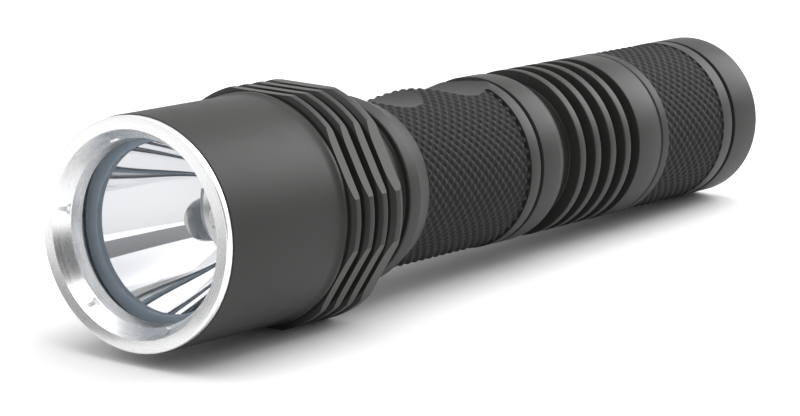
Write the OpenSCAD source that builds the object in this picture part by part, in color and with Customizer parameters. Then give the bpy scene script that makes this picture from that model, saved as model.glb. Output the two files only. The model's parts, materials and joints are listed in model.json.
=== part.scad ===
// Tactical flashlight with one lithium cell, built from separate pieces.
// The light lies along X, its beam leaves towards +X and one milled flat faces down.
// Every piece is turned about the beam axis, so most modules draw a half profile in
// [radius, station] points, where a station is the distance back from the bezel's face.

/* [Head] */
// Diameter of the smooth barrel
barrel_d = 32.5; // [32.4:0.05:32.8]
// Diameter over the round part of the cooling fins
fin_d = 34.9; // [34.4:0.1:35.6]
// Distance across each pair of milled flats
flats_across = 33.2; // [33.14:0.02:33.6]
// Number of milled flats around the fins
flat_count = 6; // [6:2:8]
// Number of cooling fins
fin_count = 4; // [2:1:4]
// Distance from one fin to the next
fin_pitch = 3.14; // [2.9:0.02:3.2]
// Width of a fin's outer edge
fin_w = 1.1; // [0.8:0.05:1.3]
// Diameter of the neck behind the fins
neck_d = 27.8; // [27:0.1:29]

/* [Bezel and optics] */
// Length of the silver band that shows in front of the barrel
bezel_band = 1.1; // [0.9:0.05:1.3]
// Diameter of the bezel's mouth at its front face
mouth_d = 28.6; // [28:0.1:29.2]
// Diameter of the bezel's clear opening in front of the lens
window_d = 25.2; // [25:0.1:25.5]
// Number of spanner notches inside the bezel
notch_count = 6; // [3:1:8]
// Thickness of the glass
lens_t = 2; // [1.5:0.1:2]
// Diameter of the reflector's mouth
reflector_d = 24.5; // [24.4:0.05:24.6]
// Focal length of the reflector's parabola
focal_l = 2.2; // [2.15:0.05:2.25]

/* [Tube] */
// Length of the tube that shows between the head and the tail cap
tube_l = 63.5; // [63.3:0.1:64]
// Diameter over the tube's knurl
grip_d = 25.6; // [25.2:0.1:25.9]
// Diameter over the collar, the rings and the tail cap
ring_d = 25.9; // [25.6:0.1:26.4]
// Number of thin cooling rings
ring_count = 4; // [2:1:4]
// Distance from one cooling ring to the next
ring_pitch = 4.35; // [4:0.05:4.4]
// Width of a cooling ring
ring_w = 1.65; // [1.2:0.05:2]
// Depth of the gaps between the cooling rings
ring_gap_depth = 2; // [1:0.1:2.2]
// Depth of the two thumb scallops
scallop_depth = 2; // [1.2:0.1:2.1]
// Angle of the two thumb scallops round the tube, from straight up
scallop_turn = -8; // [-20:1:20]
// Distance between the two thumb scallops
scallop_pitch = 16; // [14:0.5:17]

/* [Tail] */
// Length of the tail cap
tail_l = 30.5; // [30.5:0.1:32]
// Diameter of the thumb recess in the tail
recess_d = 18.4; // [17:0.1:20]
// Diameter of the push button
button_d = 13; // [12:0.1:13.4]
// How far the push button travels
button_travel = 1.6; // [1:0.1:1.6]

/* [Cell and bores] */
// Diameter of the cell in its wrap
cell_d = 18.3; // [18:0.1:18.6]
// Diameter of the bore that the cell slides in
bore_d = 18.8; // [18.7:0.1:19]
// Diameter of the tube's screw threads
thread_d = 22.8; // [22.6:0.1:22.9]

/* [Hidden] */
$fn = 96;

// Radial clearances: a screwed or sliding fit, and pieces that only lie next to each other
fit = 0.05;
gap = 0.1;
// Overrun of a cutting shape past the face it cuts
over = 1;

// Stations of the three visible joints and of the tail's end face
head_end = 51.3;
tube_end = head_end + tube_l;
light_end = tube_end + tail_l;
half_l = light_end / 2;

// Radii of the driving diameters
barrel_r = barrel_d / 2;
fin_r = fin_d / 2;
neck_r = neck_d / 2;
grip_r = grip_d / 2;
ring_r = ring_d / 2;
bore_r = bore_d / 2;
thread_r = thread_d / 2;
cell_r = cell_d / 2;
mouth_r = mouth_d / 2;
window_r = window_d / 2;

// Bezel: its cone, its threaded skirt and the pocket behind its lip
cone_end = 2.3;
lip_end = 4.25;
skirt_end = 6.2;
skirt_r = 15.05;
lens_r = 13.8;
notch_r = 1.1;
notch_depth = 2.15;
notch_turn = -23.7;

// Lens stack and reflector
lens_front = lip_end + gap;
lens_back = lens_front + lens_t;
gasket_end = 7.6;
gasket_bore_r = 11.85;
reflector_front = gasket_end + gap / 2;
reflector_end = 22.5;
reflector_r = reflector_d / 2;
reflector_wall = 1.3;
flange_r = 14.2;
vertex = reflector_front + reflector_r * reflector_r / (4 * focal_l);
hole_r = mirror_r(reflector_end);

// Emitter, its board, the pill and the driver
board_front = 24.4;
board_back = 25.95;
board_r = 10;
post_r = 3;
post_front = 20.25;
package_t = 0.75;
package_w = 4.2;
dome_r = 2.1;
pill_shelf_end = 29;
pill_end = 45.3;
pill_bore_r = 9.3;
driver_front = 43.6;
driver_back = 45.2;
lead_orbit = 7.1;
screw_orbit = 7.6;

// Head: cove, bead, fins, groove and neck
cove_start = 24;
cove_r = 3.3;
cove_turn = 25;
bead_end = 26;
first_fin_back = 27.83;
groove_floor_r = 13;
fin_floor_r = 14.9;
neck_start = 44.4;
neck_taper = 47;
head_thread_end = 6.8;
reflector_bore_r = 14.35;
reflector_bore_end = 23;
pill_bore_start = 25.9;

// Tube: nipples, cell bore, collar, rings
front_nipple = 45.6;
rear_nipple_end = tube_end + 7.7;
knurl_end = head_end + 25.9;
collar_groove = head_end + 28.4;
collar_groove_end = collar_groove + 0.9;
collar_end = head_end + 33.5;
collar_round = 4;
first_ring_back = head_end + 41.1;
wide_ring_start = head_end + 56.7;
scallop_station = head_end + 6.3;
scallop_r = 13.2;

// Cell
cell_tip = 49.5;
can_front = 50.9;
cell_back = 115.3;

// Tail cap and switch, as stations from the front of the cap
cap_groove = tube_end + 22.1;
cap_groove_end = cap_groove + 1;
retainer_front = tube_end + 8.15;
switch_front = tube_end + 9.55;
switch_back = switch_front + 1.6;
cap_thread_end = tube_end + 11.3;
plunger_clearance = 2;
spacer_r = 10.85;
spacer_bore_r = 7.9;
wall_front = tube_end + 21.4;
wall_back = wall_front + 2.5;
button_r = button_d / 2;
button_flange_t = 1.15;
button_top = light_end - 1.3;
recess_r = recess_d / 2;

// Radius of the mirror at a station, and of the reflector's outside there
function mirror_r(s) = sqrt(4 * focal_l * (vertex - s));
function reflector_skin(s) = max(mirror_r(s) + reflector_wall, 5.5);

// Points of an arc in [radius, station], from one angle to another about a centre
function arc(r, s, size, from, to, steps = 8) =
    [for (i = [0:steps]) let (a = from + (to - from) * i / steps)
        [r + size * cos(a), s + size * sin(a)]];

// Stands a shape that was turned about Z with stations going up onto the beam axis
module on_beam() {
    translate([half_l, 0, 0]) rotate([0, -90, 0]) children();
}

// Turns a half profile of [radius, station] points about the beam axis
module turned(profile) {
    rotate_extrude() polygon(profile);
}

// A plain ring between two radii and two stations
module ring(inner, outer, from, to) {
    turned([[inner, from], [outer, from], [outer, to], [inner, to]]);
}

// A plain round bar between two stations
module bar(r, from, to) {
    translate([0, 0, from]) cylinder(r = r, h = to - from);
}

// A rubber ring of round section
module o_ring(centre_r, section_r, station) {
    rotate_extrude() translate([centre_r, station]) circle(r = section_r, $fn = 32);
}

// A conical coil spring with its closed ends facing forwards and back
module coil_spring(front_r, back_r, front, back, turns, wire_r) {
    sides = 8;
    rings = turns * 16;
    length = back - front - 2 * wire_r;
    function centre(t) = let (r = front_r + (back_r - front_r) * t, a = 360 * turns * t)
        [r * cos(a), r * sin(a), front + wire_r + length * t];
    function rim(t) = let (a = 360 * turns * t, c = centre(t))
        [for (j = [0:sides - 1]) let (b = 360 * j / sides)
            c + wire_r * [cos(b) * cos(a), cos(b) * sin(a), sin(b)]];
    points = [for (i = [0:rings]) each rim(i / rings)];
    walls = [for (i = [0:rings - 1], j = [0:sides - 1]) let (k = (j + 1) % sides)
        [i * sides + j, i * sides + k, (i + 1) * sides + k, (i + 1) * sides + j]];
    front_cap = [for (j = [sides - 1:-1:0]) j];
    back_cap = [for (j = [0:sides - 1]) rings * sides + j];
    polyhedron(points, concat(walls, [front_cap, back_cap]), convexity = 10);
}

module bezel_ring() {
    profile = concat(
        [[mouth_r, 0], [barrel_r - 0.3, 0], [barrel_r - 0.12, 0.18]],
        [[barrel_r - 0.12, bezel_band]],
        [[skirt_r, bezel_band], [skirt_r, 1.55], [14.1, 1.55], [14.1, 2.65], [skirt_r, 2.65]],
        [[skirt_r, skirt_end], [lens_r + 0.2, skirt_end], [lens_r + 0.2, lip_end]],
        [[window_r, lip_end], [window_r + 0.3, cone_end]]
    );
    color("gainsboro") on_beam() difference() {
        turned(profile);
        for (i = [0:notch_count - 1])
            rotate([0, 0, notch_turn + i * 360 / notch_count])
                translate([window_r - 0.3, 0, -over])
                    cylinder(r = notch_r, h = over + notch_depth, $fn = 32);
    }
}

module bezel_o_ring() {
    color("dimgray") on_beam() o_ring(14.62, 0.42, 2.1);
}

module lens() {
    color([0.8, 0.9, 1, 0.4]) on_beam() bar(lens_r, lens_front, lens_back);
}

module lens_gasket() {
    color("darkslategray") on_beam() ring(gasket_bore_r, lens_r + 0.1, lens_back + 0.02, gasket_end);
}

module reflector() {
    steps = 20;
    function at(i) = reflector_front + (reflector_end - reflector_front) * i / steps;
    flange_end = reflector_front + 1.5;
    inside = [for (i = [steps:-1:0]) [mirror_r(at(i)), at(i)]];
    outside = [for (i = [0:steps]) if (at(i) > flange_end) [reflector_skin(at(i)), at(i)]];
    color("whitesmoke") on_beam() turned(concat(
        inside,
        [[flange_r, reflector_front], [flange_r, flange_end], [reflector_skin(flange_end), flange_end]],
        outside
    ));
}

module led_centring_ring() {
    color("slategray") on_beam() {
        ring(post_r + gap, hole_r - 0.15, reflector_end - 0.5, reflector_end + 0.2);
        ring(post_r + gap, 4.7, reflector_end + 0.1, board_front);
    }
}

module led_package() {
    color("ivory") on_beam() translate([-package_w / 2, -package_w / 2, post_front - package_t])
        cube([package_w, package_w, package_t]);
}

module led_dome() {
    seat = post_front - package_t;
    color("khaki") on_beam() intersection() {
        translate([0, 0, seat]) sphere(r = dome_r, $fn = 48);
        bar(dome_r + over, seat - dome_r - over, seat);
    }
}

module led_board() {
    color("silver") on_beam() difference() {
        union() {
            bar(board_r, board_front, board_back);
            bar(post_r, post_front, board_back);
        }
        for (side = [-1, 1]) {
            translate([0, side * screw_orbit, board_front - over]) cylinder(r = 1.15, h = 4, $fn = 32);
            translate([side * lead_orbit, 0, board_front - over]) cylinder(r = 0.8, h = 4, $fn = 32);
        }
    }
}

module board_screws() {
    color("silver") on_beam() for (side = [-1, 1]) translate([0, side * screw_orbit, 0]) {
        difference() {
            bar(1.9, board_front - 1.2, board_front);
            translate([-2, -0.25, board_front - 1.2 - over]) cube([4, 0.5, over + 0.6]);
        }
        bar(0.95, board_front, pill_shelf_end);
    }
}

// A lead: a short run across the board's pad, then straight back through the board and the pill
module lead(side, tint) {
    wire_r = 0.5;
    pad = board_front - wire_r;
    color(tint) on_beam() {
        translate([side * lead_orbit, 0, 0]) bar(wire_r, pad, driver_front, $fn = 24);
        translate([side * lead_orbit, 0, pad]) sphere(r = wire_r, $fn = 24);
        translate([side * lead_orbit, 0, pad]) rotate([0, -side * 90, 0])
            cylinder(r = wire_r, h = 2.2, $fn = 24);
    }
}

module positive_lead() {
    lead(1, "red");
}

module negative_lead() {
    lead(-1, "black");
}

module pill() {
    color("goldenrod") on_beam() difference() {
        bar(thread_r, board_back, pill_end);
        bar(pill_bore_r, pill_shelf_end, pill_end + over);
        for (side = [-1, 1]) {
            translate([0, side * screw_orbit, 0]) bar(0.95, board_back - over, pill_shelf_end + over);
            translate([side * lead_orbit, 0, 0]) bar(0.9, board_back - over, pill_shelf_end + over);
        }
    }
}

module driver_board() {
    color("darkgreen") on_beam() bar(pill_bore_r - fit, driver_front, driver_back);
}

module driver_chips() {
    color("dimgray") on_beam() {
        translate([-2, -7, driver_front - 1.5]) cube([4, 5, 1.5]);
        translate([1, 3.5, driver_front - 1]) cube([2.5, 2, 1]);
        translate([-3.5, 3.5, driver_front - 1]) cube([2.5, 2, 1]);
    }
}

module driver_inductor() {
    color("gray") on_beam() translate([0, 0.2, 0]) bar(1.9, driver_front - 2.4, driver_front);
}

module driver_spring() {
    color("gold") on_beam() coil_spring(2.2, 4.2, driver_back, cell_tip - gap, 3, 0.4);
}

module head_body() {
    cove = arc(barrel_r + cove_r, cove_start, cove_r, 180, 180 - cove_turn, 6);
    bead_r = barrel_r + cove_r * (1 - cos(cove_turn));
    function fin_back(i) = first_fin_back + i * fin_pitch;
    last_back = fin_back(fin_count - 1);
    fins = [for (i = [0:fin_count - 1])
        let (b = fin_back(i), f = b - fin_w, wide = i == fin_count - 1 ? 0.5 : 0)
        each [
            [i == 0 ? barrel_r - 0.1 : fin_floor_r, f - 0.35 - wide / 2],
            [fin_r - 0.65, f - 0.35 - wide / 2],
            [fin_r, f],
            [fin_r, b],
            [fin_r - 0.2, b + 0.15 + wide],
            [i == fin_count - 1 ? groove_floor_r : fin_floor_r, b + 0.15 + wide],
        ]];
    outside = concat(
        [[barrel_r - 0.15, bezel_band], [barrel_r, bezel_band + 0.15]],
        cove,
        [[bead_r, bead_end], [barrel_r - 0.1, bead_end + 0.15]],
        fins,
        [[groove_floor_r, neck_start], [neck_r - 0.15, neck_start], [neck_r, neck_start + 0.2]],
        [[neck_r, neck_taper], [grip_r - 0.25, head_end - 0.2], [grip_r - 0.4, head_end]]
    );
    inside = [
        [thread_r + fit, head_end], [thread_r + fit, pill_bore_start],
        [reflector_bore_r, reflector_bore_end], [reflector_bore_r, head_thread_end],
        [skirt_r + fit, head_thread_end], [skirt_r + fit, bezel_band],
    ];
    color([0.16, 0.16, 0.16]) on_beam() intersection() {
        turned(concat(outside, inside));
        rotate([0, 0, 180 / flat_count])
            cylinder(r = flats_across / 2 / cos(180 / flat_count), h = head_end, $fn = flat_count);
    }
}

module battery_tube() {
    rings = [for (i = [0:ring_count - 1]) let (b = first_ring_back + i * ring_pitch, f = b - ring_w)
        each [
            [ring_r - ring_gap_depth, f],
            [ring_r - 0.15, f],
            [ring_r, f + 0.15],
            [ring_r, b - 0.15],
            [ring_r - 0.15, b],
            [ring_r - ring_gap_depth, b],
        ]];
    round_turn = acos(1 - ring_gap_depth / collar_round);
    collar = arc(ring_r - collar_round, collar_end, collar_round, 0, round_turn);
    front = [
        [bore_r, front_nipple], [thread_r - 0.4, front_nipple], [thread_r, front_nipple + 0.4],
        [thread_r, head_end - 1.9], [thread_r - 1.1, head_end - 1.9],
        [thread_r - 1.1, head_end - 0.6], [thread_r, head_end - 0.6], [thread_r, head_end + fit],
    ];
    grip = [
        [grip_r - 0.4, head_end + fit], [grip_r, head_end + 0.3], [grip_r, knurl_end], [ring_r, knurl_end],
        [ring_r, collar_groove], [ring_r - 0.6, collar_groove + 0.1],
        [ring_r - 0.6, collar_groove_end - 0.1], [ring_r, collar_groove_end],
    ];
    rear = [
        [ring_r - ring_gap_depth, wide_ring_start], [ring_r - 0.15, wide_ring_start],
        [ring_r, wide_ring_start + 0.15], [ring_r, tube_end - 0.3], [ring_r - 0.25, tube_end - fit],
        [thread_r, tube_end - fit], [thread_r, tube_end + 0.5], [thread_r - 1.1, tube_end + 0.5],
        [thread_r - 1.1, tube_end + 1.8], [thread_r, tube_end + 1.8],
        [thread_r, rear_nipple_end - 0.4], [thread_r - 0.4, rear_nipple_end], [bore_r, rear_nipple_end],
    ];
    color([0.18, 0.18, 0.18]) on_beam() difference() {
        turned(concat(front, grip, collar, rings, rear));
        for (i = [0, 1])
            rotate([0, 0, scallop_turn])
                translate([grip_r - scallop_depth + scallop_r, 0, scallop_station + i * scallop_pitch])
                    rotate([90, 0, 0]) cylinder(r = scallop_r, h = ring_d, center = true, $fn = 180);
    }
}

module front_o_ring() {
    color("black") on_beam() o_ring(thread_r - 0.53, 0.5, head_end - 1.25);
}

module rear_o_ring() {
    color("black") on_beam() o_ring(thread_r - 0.53, 0.5, tube_end + 1.15);
}

module cell_can() {
    color("silver") on_beam() bar(cell_r - 0.15, can_front, cell_back);
}

module cell_wrap() {
    color("royalblue") on_beam() difference() {
        bar(cell_r, can_front - 0.15, cell_back + 0.05);
        bar(cell_r - 0.15, can_front, cell_back);
        bar(cell_r - 1.4, can_front - over, cell_back + over);
    }
}

module cell_insulator() {
    color("white") on_beam() ring(3.6, cell_r - 1.6, can_front - 0.35, can_front);
}

module cell_positive_cap() {
    color("silver") on_beam() turned([
        [0, cell_tip], [2.4, cell_tip], [2.8, cell_tip + 0.4], [2.8, can_front - 0.3],
        [3.5, can_front - 0.3], [3.5, can_front], [0, can_front],
    ]);
}

module tail_cap() {
    end_round = 0.8;
    outside = concat(
        [[ring_r - 0.25, tube_end + fit], [ring_r, tube_end + 0.3], [ring_r, cap_groove]],
        [[ring_r - 0.85, cap_groove + 0.1], [ring_r - 0.85, cap_groove_end - 0.1]],
        [[ring_r, cap_groove_end]],
        arc(ring_r - end_round, light_end - end_round, end_round, 0, 90)
    );
    inside = [
        [recess_r + 0.5, light_end], [recess_r, light_end - 0.5], [recess_r, wall_back],
        [button_r + 0.1, wall_back], [button_r + 0.1, wall_front],
        [spacer_r + fit, wall_front], [spacer_r + fit, cap_thread_end],
        [thread_r + fit, cap_thread_end], [thread_r + fit, tube_end + fit],
    ];
    color([0.18, 0.18, 0.18]) on_beam() turned(concat(outside, inside));
}

module tail_spring() {
    color("gold") on_beam() coil_spring(3.2, 5.6, cell_back + 0.15, switch_front, 4, 0.45);
}

module switch_retaining_ring() {
    color("silver") on_beam() difference() {
        ring(6.5, thread_r, retainer_front, switch_front);
        for (side = [-1, 1])
            translate([0, side * 9, retainer_front - over]) cylinder(r = 0.9, h = 4, $fn = 32);
    }
}

module switch_board() {
    color("darkgreen") on_beam() bar(spacer_r, switch_front, switch_back);
}

module switch_body() {
    color("dimgray") on_beam() difference() {
        translate([-4, -4, switch_back]) cube([8, 8, 6.5]);
        bar(2.05, switch_back + 1.5, switch_back + 6.5 + over);
    }
}

module switch_spacer() {
    color("white") on_beam() ring(spacer_bore_r, spacer_r, switch_back + fit, wall_front - fit);
}

module switch_plunger() {
    front = switch_back + plunger_clearance + button_travel;
    color("white") on_beam() bar(2, front, wall_front - button_flange_t - fit);
}

module tail_button() {
    edge = 1.2;
    rest = wall_front - fit;
    groove = wall_back - 1.1;
    color("dimgray") on_beam() turned(concat(
        [[0, rest - button_flange_t], [button_r + 1.1, rest - button_flange_t], [button_r + 1.1, rest]],
        [[button_r, rest], [button_r, groove], [button_r - 0.7, groove]],
        [[button_r - 0.7, groove + 0.8], [button_r, groove + 0.8]],
        arc(button_r - edge, button_top - edge - 0.25, edge, 0, 80),
        [[0, button_top]]
    ));
}

module button_o_ring() {
    color("black") on_beam() o_ring(button_r - 0.32, 0.36, wall_back - 0.7);
}

bezel_ring();
bezel_o_ring();
lens();
lens_gasket();
reflector();
led_centring_ring();
led_package();
led_dome();
led_board();
board_screws();
positive_lead();
negative_lead();
pill();
driver_board();
driver_chips();
driver_inductor();
driver_spring();
head_body();
battery_tube();
front_o_ring();
rear_o_ring();
cell_can();
cell_wrap();
cell_positive_cap();
cell_insulator();
tail_cap();
tail_spring();
switch_retaining_ring();
switch_board();
switch_body();
switch_spacer();
switch_plunger();
tail_button();
button_o_ring();
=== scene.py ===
"""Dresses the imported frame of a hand-held flashlight with finished, turned pieces.

All sizes in the profiles are millimetres. A station is the distance back from the
bezel's face, and a polar angle is measured from +Z towards +Y about the beam axis.
"""
import json
import math

import bmesh
import bpy
import numpy as np
from bpy.props import (
    FloatProperty,
    FloatVectorProperty,
    IntProperty,
    PointerProperty,
)
from mathutils import Matrix, Vector


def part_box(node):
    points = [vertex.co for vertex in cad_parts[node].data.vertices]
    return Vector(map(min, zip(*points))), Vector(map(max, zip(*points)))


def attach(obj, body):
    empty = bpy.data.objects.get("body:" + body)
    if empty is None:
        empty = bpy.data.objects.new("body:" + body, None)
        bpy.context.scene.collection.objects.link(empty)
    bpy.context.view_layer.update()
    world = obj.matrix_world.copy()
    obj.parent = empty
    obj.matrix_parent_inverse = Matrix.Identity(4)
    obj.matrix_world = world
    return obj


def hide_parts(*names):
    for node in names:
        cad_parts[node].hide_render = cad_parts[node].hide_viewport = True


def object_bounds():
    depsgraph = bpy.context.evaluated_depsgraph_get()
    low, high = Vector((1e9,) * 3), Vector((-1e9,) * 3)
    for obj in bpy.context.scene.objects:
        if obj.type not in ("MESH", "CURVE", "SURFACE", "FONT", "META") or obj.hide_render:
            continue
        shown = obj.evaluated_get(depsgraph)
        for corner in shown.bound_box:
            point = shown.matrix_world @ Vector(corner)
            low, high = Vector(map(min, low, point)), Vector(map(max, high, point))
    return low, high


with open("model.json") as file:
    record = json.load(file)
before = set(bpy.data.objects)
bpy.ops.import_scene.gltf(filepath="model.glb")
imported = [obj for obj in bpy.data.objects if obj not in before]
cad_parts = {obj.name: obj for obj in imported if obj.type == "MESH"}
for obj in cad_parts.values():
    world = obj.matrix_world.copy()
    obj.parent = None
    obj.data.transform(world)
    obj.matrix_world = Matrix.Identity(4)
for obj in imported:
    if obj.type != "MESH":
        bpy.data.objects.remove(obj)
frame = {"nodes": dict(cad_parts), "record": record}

bl_info = {
    "name": "Flashlight Dresser",
    "version": (1, 0, 0),
    "blender": (4, 5, 0),
    "location": "3D View > Sidebar > Flashlight",
    "description": "Builds the finished pieces of a flashlight round its packed frame",
    "category": "Object",
}

MM = 0.001
CAD_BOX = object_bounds()
FACE = CAD_BOX[1].x
BODY_OF = {
    node: body
    for body, nodes in frame["record"]["behaviour"]["bodies"].items()
    for node in nodes
}

# Points round a plain turned piece, and round its knurled bands
AROUND = 176
KNURL_AROUND = 352
# Rings along one knurl diamond
KNURL_STEPS = 8
# Points this close to a band's radius, in metres, belong to the band
ON_RADIUS = 0.00003
# Depth of the fine thread between the bezel and the head, in metres
BEZEL_THREAD_DEPTH = 0.00036
# Radii of the two threads, on the bezel and in the head and tail cap
BEZEL_THREAD_R = 15.05
INNER_THREAD_R = 11.45


def span(node):
    """Front station, rear station and outer radius of a CAD node."""
    low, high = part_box(node)
    return (FACE - high.x) / MM, (FACE - low.x) / MM, max(high.y, high.z) / MM


# ---------------------------------------------------------------- node graphs


class Wire:
    """A value in a node tree. Sums and products of wires add Math nodes."""

    def __init__(self, graph, socket):
        self.graph = graph
        self.socket = socket

    def math(self, operation, *terms, clamp=False):
        inputs = dict(enumerate((self,) + terms))
        settings = {"operation": operation, "use_clamp": clamp}
        return self.graph.add("ShaderNodeMath", settings, inputs)[0]

    def __add__(self, other):
        return self.math("ADD", other)

    __radd__ = __add__

    def __mul__(self, other):
        return self.math("MULTIPLY", other)

    __rmul__ = __mul__

    def __sub__(self, other):
        return self.math("SUBTRACT", other)

    def __rsub__(self, other):
        return (self * -1) + other

    def __truediv__(self, other):
        return self.math("DIVIDE", other)

    def __pow__(self, power):
        return self.math("POWER", power)

    def __abs__(self):
        return self.math("ABSOLUTE")

    def least(self, other):
        return self.math("MINIMUM", other)

    def most(self, other):
        return self.math("MAXIMUM", other)

    def over(self, limit):
        return self.math("GREATER_THAN", limit)

    def clamped(self):
        return self.math("ADD", 0.0, clamp=True)


class Outputs:
    """The output sockets of a node, as wires, by name or number."""

    def __init__(self, graph, node):
        self.graph = graph
        self.node = node

    def __getitem__(self, key):
        return Wire(self.graph, self.node.outputs[key])


class Graph:
    """Adds and links nodes in one tree."""

    def __init__(self, tree):
        self.tree = tree

    def add(self, kind, settings=None, inputs=None):
        """A node of a type, with its settings set first, then its inputs."""
        node = self.tree.nodes.new(kind)
        for key, value in (settings or {}).items():
            setattr(node, key, value)
        for key, value in (inputs or {}).items():
            socket = node.inputs[key]
            if isinstance(value, Wire):
                self.tree.links.new(value.socket, socket)
            else:
                socket.default_value = value
        return Outputs(self, node)

    def split(self, vector):
        parts = self.add("ShaderNodeSeparateXYZ", None, {0: vector})
        return parts[0], parts[1], parts[2]

    def join(self, x, y, z):
        return self.add("ShaderNodeCombineXYZ", None, {0: x, 1: y, 2: z})[0]

    def mix(self, factor, first, second):
        """Colour between two colours or colour wires."""
        settings = {"data_type": "RGBA"}
        return self.add("ShaderNodeMix", settings, {0: factor, 6: first, 7: second})[2]

    def noise(self, vector, scale, detail=2.0, roughness=0.5):
        inputs = {"Vector": vector, "Scale": scale, "Detail": detail, "Roughness": roughness}
        return self.add("ShaderNodeTexNoise", None, inputs)["Fac"]


# ---------------------------------------------------------------- finishes


def shade(colour, factor):
    """An RGBA colour made lighter or darker."""
    return tuple(min(1.0, c * factor) for c in colour[:3]) + (1.0,)


class Finish(Graph):
    """A material with one Principled shader, and the coordinates its patterns use."""

    def __init__(self, name, **constants):
        self.material = bpy.data.materials.new(name)
        self.material.use_nodes = True
        super().__init__(self.material.node_tree)
        self.tree.nodes.clear()
        self.shader = self.add("ShaderNodeBsdfPrincipled").node
        output = self.add("ShaderNodeOutputMaterial").node
        self.tree.links.new(self.shader.outputs[0], output.inputs[0])
        for key, value in constants.items():
            self.shader.inputs[key.replace("_", " ")].default_value = value
        self.place = self.add("ShaderNodeTexCoord")["Object"]
        self.x, self.y, self.z = self.split(self.place)
        self.radius = (self.y * self.y + self.z * self.z) ** 0.5

    def feed(self, socket, wire):
        self.tree.links.new(wire.socket, self.shader.inputs[socket])

    def turning_lines(self, per_mm):
        """Fine lines that run round the beam axis, as a turning tool leaves them."""
        where = self.join(self.x * (per_mm / MM), self.radius * (per_mm / MM), 0.0)
        return self.noise(where, 1.0, 3.0, 0.6)

    def bump(self, height, depth_mm, strength=1.0):
        inputs = {"Strength": strength, "Distance": depth_mm * MM, "Height": height}
        self.feed("Normal", self.add("ShaderNodeBump", None, inputs)["Normal"])

    def cloud(self, size_mm, detail=2.0, roughness=0.5):
        return self.noise(self.place, 1 / (size_mm * MM), detail, roughness)


def anodised(name, colour, rough=0.46, line_depth=0.004, grain_depth=0.006, knurl=None):
    """Hard anodised aluminium: satin, a little mottled, with faint turning lines.

    A knurl, given as its start, end, radius and depth in metres, gets painted shade over
    the band, darkest in its grooves, and a painted highlight on its tips.
    """
    f = Finish(name, Metallic=0.0, IOR=1.5, Specular_IOR_Level=0.27)
    cloud = f.cloud(4.0, 4.0, 0.6)
    grain = f.cloud(0.16, 2.0, 0.7)
    lines = f.turning_lines(4.0)
    tone = (cloud * 0.5 + grain * 0.3 + lines * 0.2 - 0.5) * 1.6 + 0.5
    tint = f.mix(tone.clamped(), shade(colour, 0.84), shade(colour, 1.16))
    gloss = (cloud - 0.5) * 0.12 + (grain - 0.5) * 0.1 + rough
    if knurl:
        start, end, top, depth = knurl
        station = FACE - f.x
        on_band = (station - start).over(0.0) * (end - station).over(0.0)
        height = ((f.radius - (top - depth)) / depth).clamped()
        # Painted shade: the band is darkened, and its grooves most of all, where the diamonds
        # shade them
        groove = on_band * (1 - height)
        # Painted highlight: the knurl's tips are lightened, broken up by the grain
        tip_highlight = on_band * ((height - 0.72) * 4).clamped() * (grain + 0.2).clamped()
        tint = f.mix(on_band * 0.5 + groove * 0.4, tint, shade(colour, 0.15))
        tint = f.mix(tip_highlight, tint, shade(colour, 2.6))
        gloss = gloss + on_band * 0.2
    f.feed("Base Color", tint)
    f.feed("Roughness", gloss)
    f.bump(lines * line_depth + grain * grain_depth, 1.0)
    return f.material


def bare_metal(name, colour, rough=0.25, lines_per_mm=6.0, line_depth=0.002, **constants):
    """Bare turned metal: fine concentric tool lines and small changes of gloss."""
    f = Finish(name, Metallic=1.0, **constants)
    cloud = f.cloud(3.0, 3.0, 0.6)
    lines = f.turning_lines(lines_per_mm)
    tone = lines * 0.5 + cloud * 0.5
    f.feed("Base Color", f.mix(tone, shade(colour, 0.93), shade(colour, 1.04)))
    f.feed("Roughness", (lines - 0.5) * 0.18 + (cloud - 0.5) * 0.1 + rough)
    f.bump(lines, line_depth)
    return f.material


def mirror_coat(name, colour):
    """Vacuum coated mirror: bright, with the slightest orange peel and dust haze."""
    f = Finish(name, Metallic=1.0)
    peel = f.cloud(2.5, 1.0)
    dust = f.cloud(0.5, 4.0, 0.7)
    f.feed("Base Color", f.mix(dust, shade(colour, 0.97), shade(colour, 1.02)))
    f.feed("Roughness", dust * 0.03 + 0.012)
    f.bump(peel, 0.0015)
    return f.material


def clear_glass(name, tint):
    """Coated flat glass: nearly clear, with dust and a sheen that grows at low angles."""
    f = Finish(name, IOR=1.46)
    dust = f.cloud(1.2, 5.0, 0.75)
    sheen = f.add("ShaderNodeLayerWeight", None, {"Blend": 0.5})["Facing"] ** 4
    f.feed("Base Color", f.mix(dust, shade(tint, 0.985), shade(tint, 1.0)))
    f.feed("Roughness", ((dust - 0.62) * 0.1).most(0.0) + 0.01)
    f.feed("Alpha", sheen * 0.5 + dust * 0.02 + 0.015)
    return f.material


def rubber(name, colour, rough=0.6, grain_depth=0.01):
    """Moulded rubber with a fine, matt grain."""
    f = Finish(name, Metallic=0.0, IOR=1.5)
    grain = f.cloud(0.12, 3.0, 0.65)
    cloud = f.cloud(2.2, 3.0, 0.6)
    f.feed("Base Color", f.mix(cloud, shade(colour, 0.8), shade(colour, 1.25)))
    f.feed("Roughness", (grain - 0.5) * 0.2 + (cloud - 0.5) * 0.15 + rough)
    f.bump(grain, grain_depth)
    return f.material


def moulded(name, colour, rough=0.42, **constants):
    """Moulded plastic: a faint orange peel and slightly uneven gloss."""
    f = Finish(name, Metallic=0.0, IOR=1.49, **constants)
    peel = f.cloud(0.5, 2.0)
    cloud = f.cloud(3.0, 3.0, 0.6)
    f.feed("Base Color", f.mix(cloud, shade(colour, 0.92), shade(colour, 1.07)))
    f.feed("Roughness", (peel - 0.5) * 0.14 + rough)
    f.bump(peel, 0.006)
    return f.material


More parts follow.
